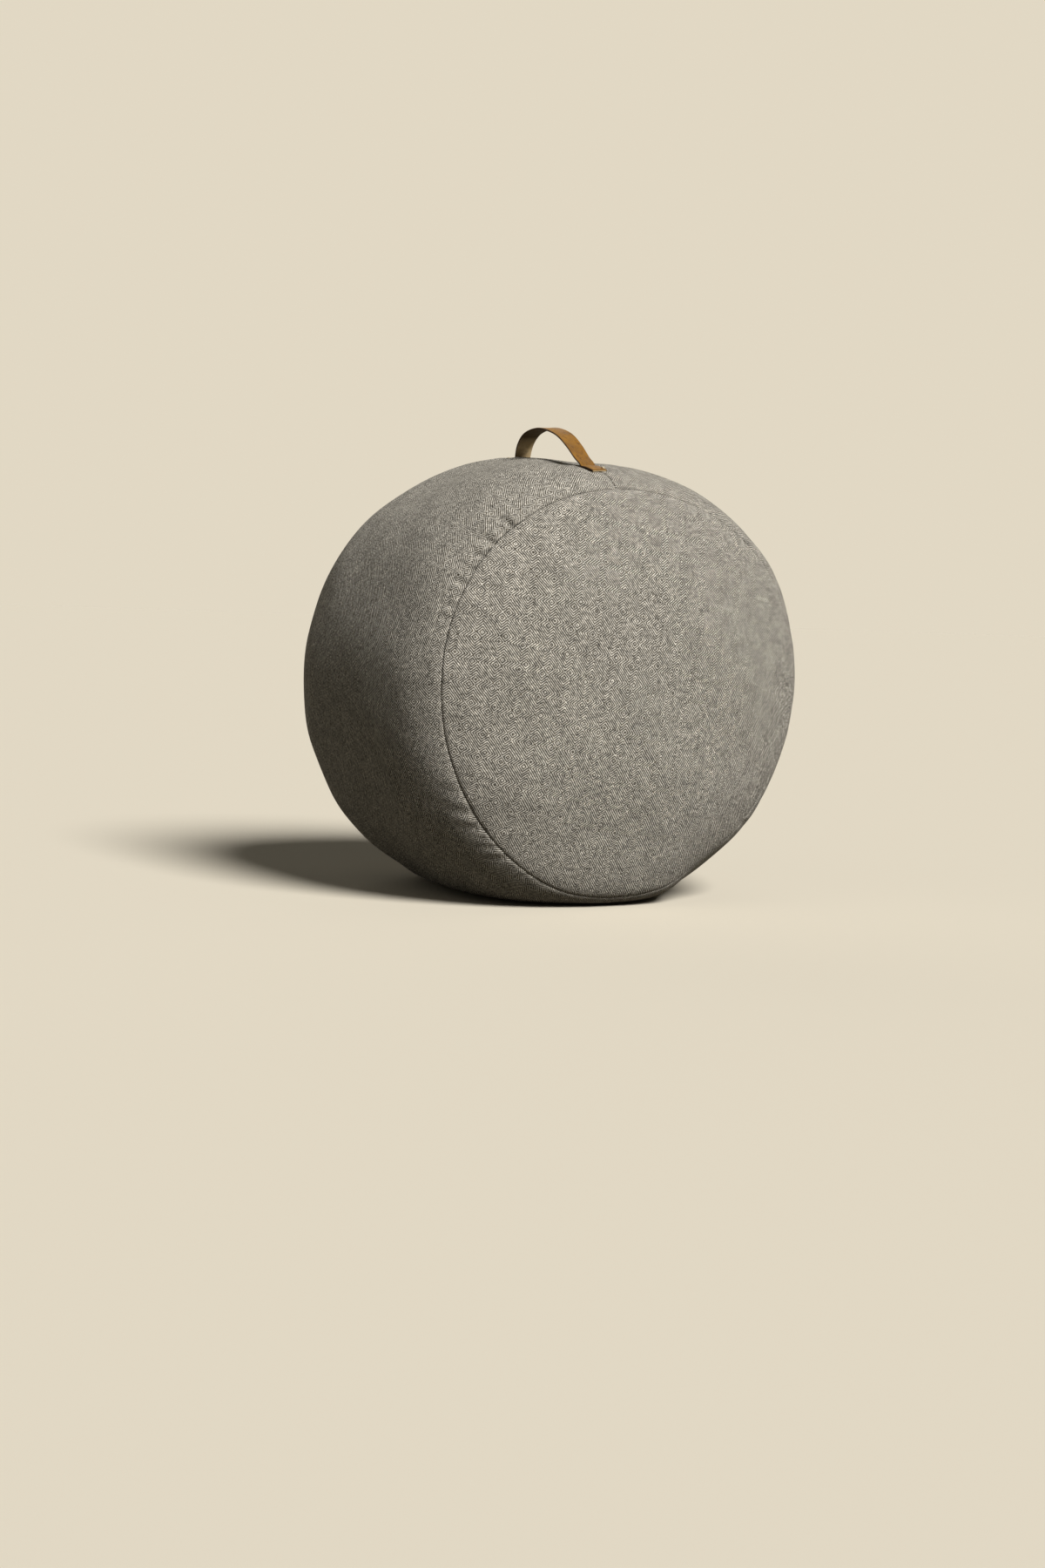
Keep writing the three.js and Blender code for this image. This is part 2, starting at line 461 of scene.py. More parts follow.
# %% [markdown]
# ## The grid of points
# Each piece of cloth is a grid, wrapped round the drum: a row of points for each turn, a column for
# each step along the profile. An even grid would need millions of points to show a slit. So the steps
# are 0.3 mm at a seam, and grow to 4.5 mm away from it. Round the drum the grid starts at the cross
# seam, so that the weave can begin and end there, as on the real strip.

# %% Steps that are fine at a seam
TURN_STEP = 2.1 * MM
FIRST_STEP = 0.3 * MM
STEP_GROWTH = 1.18
LARGEST_STEP = 4.5 * MM


def steps_from_seam(length, largest):
    steps = [0.0]
    step = FIRST_STEP
    while steps[-1] + step < length:
        steps.append(steps[-1] + step)
        step = min(step * STEP_GROWTH, largest)
    return np.array(steps) * (length / steps[-1])


half_turn = steps_from_seam(math.pi * BAND_RADIUS, TURN_STEP) / BAND_RADIUS
full_turn = CROSS_SEAM + np.concatenate([half_turn, (2 * math.pi - half_turn[::-1])[1:]])
print(len(full_turn) - 1, "steps round the drum")

# %% [markdown]
# ## From points to closed cloth
# A piece of cloth could be an open sheet, given a thickness. But the cover is imported solid, so each
# piece is the solid of filling behind it, closed by a hidden fan of faces where it is sewn to the
# next one. Two facts are stored with the mesh, for the material: where each corner lies on the flat
# cloth, and how far each point is from a seam, which sets the painted shade in the seams' folds.


# %% Helpers for meshes
def link_mesh(name, points, faces, flat_faces=()):
    """A new object; flat_faces lists the faces that are shaded flat."""
    mesh = bpy.data.meshes.new(name)
    mesh.from_pydata(np.asarray(points).tolist(), [], faces)
    mesh.polygons.foreach_set("use_smooth", [k not in flat_faces for k in range(len(faces))])
    mesh.update()
    piece = bpy.data.objects.new(name, mesh)
    bpy.context.scene.collection.objects.link(piece)
    print(f"{name}: {len(mesh.vertices)} points, {len(mesh.polygons)} faces")
    return piece


def grid_faces(turns, steps):
    """Faces of a closed ring of points, with a fan to one extra point at each end."""
    row = np.arange(turns)
    after = (row + 1) % turns
    column = np.arange(steps - 1)
    a = (row[:, None] * steps + column).ravel()
    b = (after[:, None] * steps + column).ravel()
    quads = np.column_stack([a, a + 1, b + 1, b])
    first = turns * steps
    first_fan = np.column_stack([row * steps, after * steps, np.full(turns, first)])
    last = steps - 1
    last_fan = np.column_stack([after * steps + last, row * steps + last, np.full(turns, first + 1)])
    return quads.tolist() + first_fan.tolist() + last_fan.tolist()


def corner_places(places):
    """The place on the flat cloth of each face corner, in the order of grid_faces."""
    on_quads = [places[:-1, :-1], places[:-1, 1:], places[1:, 1:], places[1:, :-1]]
    middle = np.zeros((len(places) - 1, 2))
    on_first = [places[:-1, 0], places[1:, 0], middle]
    on_last = [places[1:, -1], places[:-1, -1], middle]
    corners = [np.stack(on_quads, axis=2), np.stack(on_first, axis=1), np.stack(on_last, axis=1)]
    flat = np.concatenate([part.reshape(-1, 2) for part in corners])
    return np.column_stack([flat, np.zeros(len(flat))])


def cloth_piece(name, points, ends, places, from_seam):
    """points[turn, step], Y growing along the steps, and places[turn, step] on the flat cloth."""
    faces = grid_faces(*points.shape[:2])
    piece = link_mesh(name, np.concatenate([points.reshape(-1, 3), ends]), faces)
    cloth = piece.data.attributes.new("cloth", "FLOAT_VECTOR", "CORNER")
    cloth.data.foreach_set("vector", corner_places(places).ravel())
    # Distance from a seam's fold, which sets the painted shade there.
    seam = piece.data.attributes.new("from_seam", "FLOAT", "POINT")
    seam.data.foreach_set("value", np.append(from_seam.ravel(), (0, 0)))
    return piece


print("a ring of 4 turns and 3 steps has", len(grid_faces(4, 3)), "faces")

# %% [markdown]
# ## The band
# The band is a long, straight strip of cloth, so its weave runs round the drum and along its axis. A
# cylinder could be bulged, but then the weave would bulge with it. So its place on the flat cloth is
# measured at one radius, between the seam's and the crown's.

# %% The band
SEAM_GAP = 0.3 * MM
CLOSED_SHIFT = 1.3 * MM
CLOTH_RADIUS = 0.5 * (BAND_RADIUS + SEAM_RADIUS)


def from_fold(turn, distance):
    """Distance to the bottom of a round seam, for the painted shade in its fold. None of that shade shows
    where the seam lies tight.
    """
    return distance + (1 - seam_open(turn)) * CLOSED_SHIFT


half = BAND_REACH - steps_from_seam(BAND_REACH, LARGEST_STEP)
band_arc = np.concatenate([-half, half[::-1][1:]])
band_points = cloth_surface(full_turn[:-1], band_arc)
band_points[:, 0, 1] += SEAM_GAP / 2
band_points[:, -1, 1] -= SEAM_GAP / 2
band_along = (full_turn[:, None] - CROSS_SEAM) * CLOTH_RADIUS
band_places = np.stack(np.broadcast_arrays(band_along, band_arc[None, :]), axis=-1)
band_ends = [(0, float(band_points[:, k, 1].mean()), AXIS_HEIGHT) for k in (0, -1)]
band_turn = full_turn[:-1, None]
to_round = from_fold(band_turn, (BAND_REACH - np.abs(band_arc))[None, :])
# The cross seam's fold gets a fainter painted shade than an open round seam's.
to_seam = np.minimum(to_round, from_cross_seam(band_turn) + CLOSED_SHIFT / 2)
band = cloth_piece("wool_side_band", band_points, band_ends, band_places, to_seam)

# %% [markdown]
# ## The two panels
# Each panel is cut as one round piece, so its weave runs straight across it and doesn't turn with the
# seam. It was laid on the cloth a few degrees askew, as happens when round pieces are cut by hand. A
# flat disc could be inflated, but the profile already holds the dome, so the same grid is used.

# %% The two panels
GRAIN = math.radians(-9)
PANEL_TURNS = 720


def panel_piece(name, side):
    distance = steps_from_seam(PANEL_REACH, LARGEST_STEP)[:-1]
    even_turn = np.linspace(0, 2 * math.pi, PANEL_TURNS + 1)
    points = cloth_surface(even_turn[:-1], side * (BAND_REACH + distance))
    points[:, 0, 1] += side * SEAM_GAP / 2
    from_centre = (PANEL_REACH - distance)[None, :]
    turned = even_turn[:, None] - GRAIN
    places = np.stack([from_centre * np.cos(turned), from_centre * np.sin(turned)], axis=-1)
    ends = [(0, float(points[:, k, 1].mean()), AXIS_HEIGHT) for k in (0, -1)]
    # Distance from the seam's fold, for the painted shade there.
    to_seam = from_fold(even_turn[:-1, None], distance[None, :])
    if side > 0:
        return cloth_piece(name, points, ends, places, to_seam)
    return cloth_piece(name, points[:, ::-1], ends[::-1], places[:, ::-1], to_seam[:, ::-1])


front = panel_piece("wool_front_panel", -1)
back = panel_piece("wool_back_panel", 1)

# %% [markdown]
# ## The leather strap
# The strap is one strip of leather, sewn flat to the band at both ends, with an arch between them for
# the hand. A plank could be bent with a curve modifier. Here a few points, Y and height over the
# cloth, give its line, and a smooth curve joins them, because its ends have to lie in the two beds.

# %% The strap's line
STRAP_THICKNESS = 2.0 * MM
STRAP_CLEARANCE = 0.3 * MM
STRAP_EASING = 10 * MM
LINE_STEPS = 12
# Y and height of the arch in mm, between its back foot and its front foot.
STRAP_ARCH = [(21, 16), (4, 25.5), (-26, 29.5), (-58, 24.5), (-84, 13.5), (-102, 4)]


def smooth_curve(points, per_span):
    """A Catmull-Rom curve through points."""
    points = np.array(points, float)
    padded = np.concatenate([[2 * points[0] - points[1]], points, [2 * points[-1] - points[-2]]])
    t = np.linspace(0, 1, per_span, endpoint=False)[:, None]
    spans = []
    for a, b, c, d in zip(padded, padded[1:], padded[2:], padded[3:]):
        curve = 2 * b + (c - a) * t + (2 * a - 5 * b + 4 * c - d) * t**2
        spans.append((curve + (3 * b - a - 3 * c + d) * t**3) / 2)
    return np.concatenate([*spans, points[-1:]])


def under_strap(y, rise):
    """Radius of the strap's underside: it lies on the dressed cloth and rises from it."""
    reach = np.abs(y)
    radius = np.interp(reach, REACHES[:PROFILE_STEPS], RADII[:PROFILE_STEPS])
    distance = BAND_REACH - np.interp(reach, REACHES[:PROFILE_STEPS], ARC[:PROFILE_STEPS])
    dressed = swell(STRAP_TURN, y) - ROLL_DEPTH * np.exp(-distance / ROLL_WIDTH)
    dressed = dressed - tab_bed(STRAP_TURN, y)
    return radius + dressed * np.exp(-rise / STRAP_EASING) + STRAP_CLEARANCE + rise


arch_points = [(BACK_FOOT / MM, 0), *STRAP_ARCH, (FRONT_FOOT / MM, 0)]
arch = smooth_curve(arch_points, LINE_STEPS) * MM
tab = np.linspace(1, 0, LINE_STEPS, endpoint=False)[:, None] * (STRAP_TAB, 0)
line = np.concatenate([arch[0] + tab, arch, arch[-1] - tab[::-1]])
strap_y = line[:, 0]
strap_rise = np.maximum(line[:, 1], 0)
strap_radius = under_strap(strap_y, strap_rise)
strap_steps = np.hypot(np.diff(strap_y), np.diff(strap_radius))
strap_length = np.concatenate([[0], np.cumsum(strap_steps)])
print(f"the strap is {strap_length[-1] / MM:.0f} mm long")

# %% [markdown]
# ## The strap's section
# Strap leather is cut with a knife, and its edges are rounded and burnished. A bevel modifier would
# round the two sewn ends as well. So the section is drawn once, with its four small corners, and
# carried along the line. It is skewed a little, its free edges curl up, and its line wobbles, as a
# strip does that was cut by hand and has been pulled for years.

# %% The strap's mesh
CORNER_SHARE = 0.42
CORNER_STEPS = 4
FACE_STEPS = 8
STRAP_SKEW = math.tan(math.radians(18))
STRAP_CURL = 0.6 * MM
# How far the line sways in mm, how many mm make a radian of the wave, and where the wave starts.
WOBBLES = [(0.4, 19, 0), (0.25, 7.3, 1)]


def strap_section():
    """The section as (across, up) pairs, counter-clockwise, with its lower side at 0."""
    r = STRAP_THICKNESS * CORNER_SHARE
    side = STRAP_WIDTH / 2 - r
    top = STRAP_THICKNESS - r
    pairs = []
    for across, up, first in ((side, r, -90), (side, top, 0), (-side, top, 90), (-side, r, 180)):
        for k in range(CORNER_STEPS + 1):
            angle = math.radians(first + 90 * k / CORNER_STEPS)
            pairs.append((across + r * math.cos(angle), up + r * math.sin(angle)))
    inner = np.linspace(-side, side, FACE_STEPS + 1)[1:-1]
    low = np.column_stack([inner, 0 * inner])
    high = np.column_stack([inner[::-1], 0 * inner + STRAP_THICKNESS])
    half_way = 2 * (CORNER_STEPS + 1)
    return np.concatenate([pairs[:half_way], high, pairs[half_way:], low])


def strap_rows(shape):
    """The section at every step of the line, as points in space."""
    run = np.gradient(np.column_stack([strap_y, strap_radius]), axis=0)
    run /= np.linalg.norm(run, axis=1, keepdims=True)
    wobble = sum(far * np.sin(strap_length / (wave * MM) + start) for far, wave, start in WOBBLES)
    rows = []
    for k, (run_y, run_r) in enumerate(run):
        across = shape[:, 0] + wobble[k] * MM
        free = min(strap_rise[k] / STRAP_EASING, 1)
        up = shape[:, 1] + STRAP_CURL * (shape[:, 0] / (STRAP_WIDTH / 2)) ** 2 * free
        y = strap_y[k] + run_r * up + across * STRAP_SKEW
        rows.append(form_point(strap_radius[k] - run_y * up, STRAP_TURN - across / BAND_RADIUS, y))
    return rows


def strap_piece(name):
    shape = strap_section()
    rows = strap_rows(shape)
    count, ring = len(rows), len(shape)
    i, j = np.meshgrid(np.arange(count - 1), np.arange(ring), indexing="ij")
    a = (i * ring + j).ravel()
    b = (i * ring + (j + 1) % ring).ravel()
    quads = np.column_stack([a, b, b + ring, a + ring]).tolist()
    caps = [list(range(ring))[::-1], list(range((count - 1) * ring, count * ring))]
    piece = link_mesh(name, np.concatenate(rows), quads + caps, (len(quads), len(quads) + 1))
    across = np.tile(shape[:, 0] / (STRAP_WIDTH / 2), count)
    up = np.tile(shape[:, 1] / STRAP_THICKNESS, count)
    down = np.repeat(strap_length, ring)
    hide = piece.data.attributes.new("hide", "FLOAT_VECTOR", "POINT")
    hide.data.foreach_set("vector", np.column_stack([across, down, up]).ravel())
    return piece


strap = strap_piece("leather_strap")

# %% [markdown]
# ## A tube of thread
# Sewing thread is round. A curve with a bevel would draw it, but such a curve has to be turned into a
# mesh before the part can be used elsewhere. A ring of points, carried along a path, is a mesh at
# once, and a face at each end closes it.

# %% A tube along a path
THREAD = 0.55 * MM
THREAD_SIDES = 8
# The rings are laid out from this direction, because no stitch runs along it.
RING_GUIDE = (0.3, 0.1, 1.0)


def tube(path, radius):
    """Points and faces of a closed tube along a path."""
    run = np.gradient(path, axis=0)
    run /= np.linalg.norm(run, axis=1, keepdims=True)
    side = np.cross(run, RING_GUIDE)
    side /= np.linalg.norm(side, axis=1, keepdims=True)
    up = np.cross(side, run)
    angle = np.arange(THREAD_SIDES) * 2 * math.pi / THREAD_SIDES
    ring = np.cos(angle)[:, None, None] * side + np.sin(angle)[:, None, None] * up
    points = (path + radius * ring).transpose(1, 0, 2).reshape(-1, 3)
    faces = []
    for first in range(0, len(points) - THREAD_SIDES, THREAD_SIDES):
        for s in range(THREAD_SIDES):
            a, b = first + s, first + (s + 1) % THREAD_SIDES
            faces.append([a, a + THREAD_SIDES, b + THREAD_SIDES, b])
    faces.append(list(range(THREAD_SIDES)))
    faces.append([len(points) - 1 - s for s in range(THREAD_SIDES)])
    return points, faces


print(f"thread {2 * THREAD / MM} mm thick, with {THREAD_SIDES} sides")

# %% [markdown]
# ## The stitches that hold the strap
# Each end of the strap is tacked down at its corners with waxed linen thread. A stitch comes up
# through the leather, lies on it and goes down again. It could be a painted mark, but it stands out
# far enough to catch the light. So each one is a tube on a low arch, with its ends in the leather.

# %% Thread tacks
# All in mm: places across the strap, start and length along it, top of the arch, depth of its ends.
TACK_PLACES = (-9.4, -7.7, 7.7, 9.4)
TACK_START = 1.4
TACK_LENGTH = 4.4
TACK_TOP = 0.75
TACK_SINK = 0.3
TACK_STEPS = 8


def on_tab(across, y, height):
    """A point at a height over the upper side of a tab."""
    radius = under_strap(np.array(y), 0.0) + STRAP_THICKNESS + height
    return form_point(radius, STRAP_TURN - across / BAND_RADIUS, y)


def thread_tacks(name):
    points, faces = [], []
    for end, inward in ((FRONT_FOOT - STRAP_TAB, 1), (BACK_FOOT + STRAP_TAB, -1)):
        for across in TACK_PLACES:
            path = []
            for t in np.linspace(0, 1, TACK_STEPS + 1):
                y = end + inward * (TACK_START + TACK_LENGTH * t) * MM + across * MM * STRAP_SKEW
                height = (TACK_TOP * math.sin(math.pi * t) - TACK_SINK) * MM
                path.append(on_tab(across * MM, y, height))
            tube_points, tube_faces = tube(np.array(path), THREAD)
            faces.extend([[v + len(points) for v in face] for face in tube_faces])
            points.extend(tube_points)
    return link_mesh(name, points, faces)


tacks = thread_tacks("thread_tacks")

# %% [markdown]
# ## Helpers for shaders
# A finish is a tree of small nodes. It could be drawn by hand in the shader editor. In a script, a
# few helpers put each step on one line: one makes a node, connects what goes in, and gives back what
# comes out. An effect that more than one material may need becomes a group with named sockets.


# %% Helpers for node trees
def new_group(name, place, values, outputs):
    """A group with a place as its first input, then numbers with default values."""
    group = bpy.data.node_groups.new(name, "ShaderNodeTree")
    group.interface.new_socket(place, in_out="INPUT", socket_type="NodeSocketVector")
    for label, value in values.items():
        socket = group.interface.new_socket(label, in_out="INPUT", socket_type="NodeSocketFloat")
        socket.default_value = value
    for label in outputs:
        group.interface.new_socket(label, in_out="OUTPUT", socket_type="NodeSocketFloat")
    given = group.nodes.new("NodeGroupInput")
    result = group.nodes.new("NodeGroupOutput")
    return group, given.outputs, result.inputs


def connect(tree, value, socket):
    if isinstance(value, bpy.types.NodeSocket):
        tree.links.new(value, socket)
    else:
        socket.default_value = value


def math_node(tree, operation, *values):
    node = tree.nodes.new("ShaderNodeMath")
    node.operation = operation
    for value, socket in zip(values, node.inputs):
        connect(tree, value, socket)
    return node.outputs[0]


def stretched(tree, place, scale):
    node = tree.nodes.new("ShaderNodeMapping")
    node.inputs["Scale"].default_value = scale
    connect(tree, place, node.inputs["Vector"])
    return node.outputs["Vector"]


def noise_node(tree, place, scale, detail=2.0, roughness=0.5):
    node = tree.nodes.new("ShaderNodeTexNoise")
    connect(tree, place, node.inputs["Vector"])
    connect(tree, scale, node.inputs["Scale"])
    node.inputs["Detail"].default_value = detail
    node.inputs["Roughness"].default_value = roughness
    return node.outputs["Fac"]


def range_node(tree, value, low, high, to_low=0.0, to_high=1.0, kind="LINEAR"):
    node = tree.nodes.new("ShaderNodeMapRange")
    node.interpolation_type = kind
    labels = ("Value", "From Min", "From Max", "To Min", "To Max")
    for label, number in zip(labels, (value, low, high, to_low, to_high)):
        connect(tree, number, node.inputs[label])
    return node.outputs["Result"]


def mix_node(tree, share, a, b):
    node = tree.nodes.new("ShaderNodeMix")
    node.data_type = "RGBA"
    connect(tree, share, node.inputs["Factor"])
    connect(tree, a, node.inputs["A"])
    connect(tree, b, node.inputs["B"])
    return node.outputs["Result"]


print("the helpers for node trees are ready")

# %% [markdown]
# ## The lines of the diamond twill
# A twill steps one yarn sideways with each pick, which draws diagonal lines. Where the weaver turns
# the threading back, the lines turn too. Turned back both across and along, they close into rows of
# small diamonds. A picture of such cloth would repeat and blur. A formula doesn't: each coordinate is
# folded, so that it runs forward for a narrow strip and back for a wide one. The two are added, and
# the sum, counted in twill lines, says which yarn lies on top.

# %% The twill lines
TWILL_REPEAT = 24.7 * MM
LINE_PITCH = 2.95 * MM
DRIFT_SCALE = 60.0


def folded(tree, place, repeat, narrow):
    """place in repeats, running forward over the narrow share and back over the rest."""
    turns = math_node(tree, "DIVIDE", place, repeat)
    whole = math_node(tree, "FLOOR", turns)
    part = math_node(tree, "SUBTRACT", turns, whole)
    ahead = math_node(tree, "MINIMUM", part, narrow)
    both = math_node(tree, "ADD", ahead, math_node(tree, "MULTIPLY", whole, narrow))
    return math_node(tree, "SUBTRACT", math_node(tree, "MULTIPLY", both, 2.0), turns)


def twill_wave(tree, given):
    """1 in the middle of a light line, -1 in the middle of a dark one."""
    split = tree.nodes.new("ShaderNodeSeparateXYZ")
    tree.links.new(given["Cloth Place"], split.inputs[0])
    drift = noise_node(tree, given["Cloth Place"], DRIFT_SCALE)
    drift = math_node(tree, "MULTIPLY", math_node(tree, "SUBTRACT", drift, 0.5), given["Wander"])
    folds = []
    for axis in ("X", "Y"):
        moved = math_node(tree, "ADD", split.outputs[axis], drift)
        folds.append(folded(tree, moved, given["Repeat"], given["Narrow Share"]))
    total = math_node(tree, "MULTIPLY", math_node(tree, "ADD", *folds), given["Repeat"])
    lines = math_node(tree, "DIVIDE", total, given["Line Pitch"])
    return math_node(tree, "COSINE", math_node(tree, "MULTIPLY", lines, 2 * math.pi))


print(f"twill lines {LINE_PITCH / MM:.2f} mm apart, in repeats of {TWILL_REPEAT / MM:.1f} mm")

# %% [markdown]
# ## The yarns in a shader group
# Hand-spun yarn is uneven: thick and thin, light and dark, with fibres that stray over the edge of
# their line. It could be woven as thousands of real threads, but the part would be too heavy to use.
# Noise gives the same signs of handwork: it is drawn out along each yarn, fine for the fibres, and
# wide for the flecks and clouds. The group gives these out, and a material decides on the colours.

# %% The twill group
TWILL_VALUES = {
    "Repeat": TWILL_REPEAT,
    "Narrow Share": 0.25,
    "Line Pitch": LINE_PITCH,
    "Yarn Width": 0.9 * MM,
    "Wander": 1.6 * MM,
    "Fleck Size": 4.2 * MM,
}
ALONG_YARN = 0.13
FIBRE_SCALE = 2600.0
RAGGEDNESS = 0.9
CLOUD_SHARE = 0.22
RIB_RELIEF = 0.35
FIBRE_RELIEF = 0.8


def centred(tree, noise):
    """Noise from -1 to 1. Most of it lies between 0.3 and 0.7 at first."""
    return range_node(tree, noise, 0.3, 0.7, -1.0, 1.0)


def twill_group():
    tree, given, result = new_group(
        "diamond_twill",
        "Cloth Place",
        TWILL_VALUES,
        ("Light Yarn", "Yarn Tone", "Fleck", "Cloud", "Height"),
    )
    place = given["Cloth Place"]
    wave = twill_wave(tree, given)
    per_yarn = math_node(tree, "DIVIDE", 1.0, given["Yarn Width"])
    weft = noise_node(tree, stretched(tree, place, (ALONG_YARN, 1, 1)), per_yarn, 1.0)
    warp = noise_node(tree, stretched(tree, place, (1, ALONG_YARN, 1)), per_yarn, 1.0)
    fibre = noise_node(tree, place, FIBRE_SCALE, 2.0, 0.7)
    stray = range_node(tree, fibre, 0.25, 0.75, -RAGGEDNESS, RAGGEDNESS)
    light = range_node(tree, math_node(tree, "ADD", wave, stray), -0.5, 0.5, kind="SMOOTHSTEP")
    connect(tree, light, result["Light Yarn"])
    on_top = tree.nodes.new("ShaderNodeMix")
    for value, socket in zip((light, warp, weft), ("Factor", "A", "B")):
        connect(tree, value, on_top.inputs[socket])
    connect(tree, range_node(tree, on_top.outputs["Result"], 0.32, 0.68), result["Yarn Tone"])

    per_fleck = math_node(tree, "DIVIDE", 1.0, given["Fleck Size"])
    connect(tree, centred(tree, noise_node(tree, place, per_fleck, 3.0, 0.85)), result["Fleck"])
    per_cloud = math_node(tree, "MULTIPLY", per_fleck, CLOUD_SHARE)
    connect(tree, centred(tree, noise_node(tree, place, per_cloud)), result["Cloud"])
    ribs = math_node(tree, "MULTIPLY_ADD", wave, RIB_RELIEF, math_node(tree, "ADD", weft, warp))
    connect(tree, math_node(tree, "MULTIPLY_ADD", fibre, FIBRE_RELIEF, ribs), result["Height"])
    return tree


TWILL = twill_group()
print("twill group:", [socket.name for socket in TWILL.interface.items_tree])

# %% [markdown]
# ## What materials need
# A material has to know where it is on the cloth or the leather, and it has to raise its fine relief.
# The relief could be modelled, but yarns less than a millimetre wide are too many for that. So the
# places are read from the mesh, where they were stored, and a bump node tilts the shading.


# %% Helpers for materials
def new_material(name):
    material = bpy.data.materials.new(name)
    material.use_nodes = True
    tree = material.node_tree
    return material, tree, tree.nodes["Principled BSDF"]


def use_group(tree, group, label, value):
    """Puts a group into a tree, with one of its inputs connected."""
    node = tree.nodes.new("ShaderNodeGroup")
    node.node_tree = group
    connect(tree, value, node.inputs[label])
    return node.outputs


def attribute_node(tree, name, output="Vector"):
    node = tree.nodes.new("ShaderNodeAttribute")
    node.attribute_name = name
    return node.outputs[output]


def bump_node(tree, height, strength, distance):
    node = tree.nodes.new("ShaderNodeBump")
    node.inputs["Strength"].default_value = strength
    node.inputs["Distance"].default_value = distance
    connect(tree, height, node.inputs["Height"])
    return node.outputs[0]


print("the helpers for materials are ready")

# %% [markdown]
# ## The wool cloth
# The light yarn is a warm greige and the dark one charcoal. Each is itself a blend of fibres, so both
# tones wander, and flecks of one fibre show in the other. In the fold of a seam, where two layers
# press together, no light comes back, so the colour is darkened there: painted shade. Wool is dull,
# with a faint bloom at grazing angles from the fibre ends that stand out of it. Real hairs could make
# that bloom, but the sheen of the shader does it at no cost.

# %% Wool material
LIGHT_YARN = ((0.43, 0.407, 0.36, 1), (0.87, 0.828, 0.742, 1))
DARK_YARN = ((0.011, 0.008, 0.003, 1), (0.118, 0.092, 0.051, 1))
FLECK_CONTRAST = 0.74
FLECK_LEVEL = 0.98
CLOUD_CONTRAST = 0.15
# How far from a seam's fold the painted shade reaches, and how dark the colour is at the fold.
FOLD_REACH = 1.1 * MM
FOLD_SHADE = 0.36
WOOL_RELIEF = 0.6 * MM


def wool_material():
    material, tree, shader = new_material("greige_and_charcoal_wool")
    weave = use_group(tree, TWILL, "Cloth Place", attribute_node(tree, "cloth"))
    light = mix_node(tree, weave["Yarn Tone"], *LIGHT_YARN)
    dark = mix_node(tree, weave["Yarn Tone"], *DARK_YARN)
    yarns = mix_node(tree, weave["Light Yarn"], dark, light)
    flecked = math_node(tree, "MULTIPLY_ADD", weave["Fleck"], FLECK_CONTRAST, FLECK_LEVEL)
    clouded = math_node(tree, "MULTIPLY_ADD", weave["Cloud"], CLOUD_CONTRAST, 1.0)
    from_seam = attribute_node(tree, "from_seam", "Fac")
    # Painted shade: the colour darkens towards a seam's fold.
    painted_fold_shade = range_node(tree, from_seam, 0.0, FOLD_REACH, FOLD_SHADE, 1.0, kind="SMOOTHSTEP")
    # Flecks and clouds are the wool's own tone; the fold's factor is painted shade.
    tone_and_fold_shade = math_node(tree, "MULTIPLY", math_node(tree, "MULTIPLY", flecked, clouded), painted_fold_shade)
    toned_and_fold_shaded = tree.nodes.new("ShaderNodeVectorMath")
    toned_and_fold_shaded.operation = "SCALE"
    connect(tree, yarns, toned_and_fold_shaded.inputs[0])
    connect(tree, tone_and_fold_shade, toned_and_fold_shaded.inputs["Scale"])
    connect(tree, toned_and_fold_shaded.outputs[0], shader.inputs["Base Color"])
    shader.inputs["Roughness"].default_value = 0.95
    shader.inputs["Specular IOR Level"].default_value = 0.15
    shader.inputs["Sheen Weight"].default_value = 0.05
    shader.inputs["Sheen Roughness"].default_value = 0.5
    shader.inputs["Sheen Tint"].default_value = (1.0, 0.97, 0.92, 1)
    connect(tree, bump_node(tree, weave["Height"], 0.5, WOOL_RELIEF), shader.inputs["Normal"])
    return material


wool = wool_material()
for piece in (band, front, back):
    piece.data.materials.append(wool)
print("wool on", [piece.name for piece in (band, front, back)])

# %% [markdown]
# ## The grain of leather
# The outer side of leather is covered in small pores, with fine creases between them where it has
# been bent. A scan of a hide would show its edges and its repeat. Here cells give the pores, and
# noise, drawn out one way, gives the creases and the scuffs, so no two places are alike.

# %% The grain group
PORE_SIZE = 1.2 * MM
ALONG_CREASE = 0.35
CREASE_SCALE = 260.0
STAIN_SCALE = 70.0


def grain_group():
    values = {"Pore Size": PORE_SIZE}
    tree, given, result = new_group("leather_grain", "Place", values, ("Height", "Scuff", "Cloud"))
    place = given["Place"]
    cells = tree.nodes.new("ShaderNodeTexVoronoi")
    cells.feature = "DISTANCE_TO_EDGE"
    connect(tree, place, cells.inputs["Vector"])
    connect(tree, math_node(tree, "DIVIDE", 1.0, given["Pore Size"]), cells.inputs["Scale"])
    pores = range_node(tree, cells.outputs["Distance"], 0.0, 0.25)
    creases = noise_node(tree, stretched(tree, place, (1, ALONG_CREASE, 1)), CREASE_SCALE, 3.0, 0.6)
    stains = noise_node(tree, place, STAIN_SCALE, 3.0, 0.6)
    connect(tree, math_node(tree, "ADD", pores, creases), result["Height"])
    connect(tree, range_node(tree, creases, 0.52, 0.72, kind="SMOOTHSTEP"), result["Scuff"])
    connect(tree, range_node(tree, stains, 0.35, 0.65), result["Cloud"])
    return tree


GRAIN_GROUP = grain_group()
print("grain group:", [socket.name for socket in GRAIN_GROUP.interface.items_tree])

# %% [markdown]
# ## The strap's leather
# Natural leather is golden brown outside, darker where hands have scuffed it, and almost black at its
# burnished cut edges. Underneath it is raw and pale, and paler than raw leather on the legs near the
# feet, as painted light. Towards the middle it is dark, from the hand's wear and from painted shade
# under the top of the arch. Each side could have a material of its own. One material, which reads the
# place on the strap, lets the sides run into each other, as they do on leather that was used.

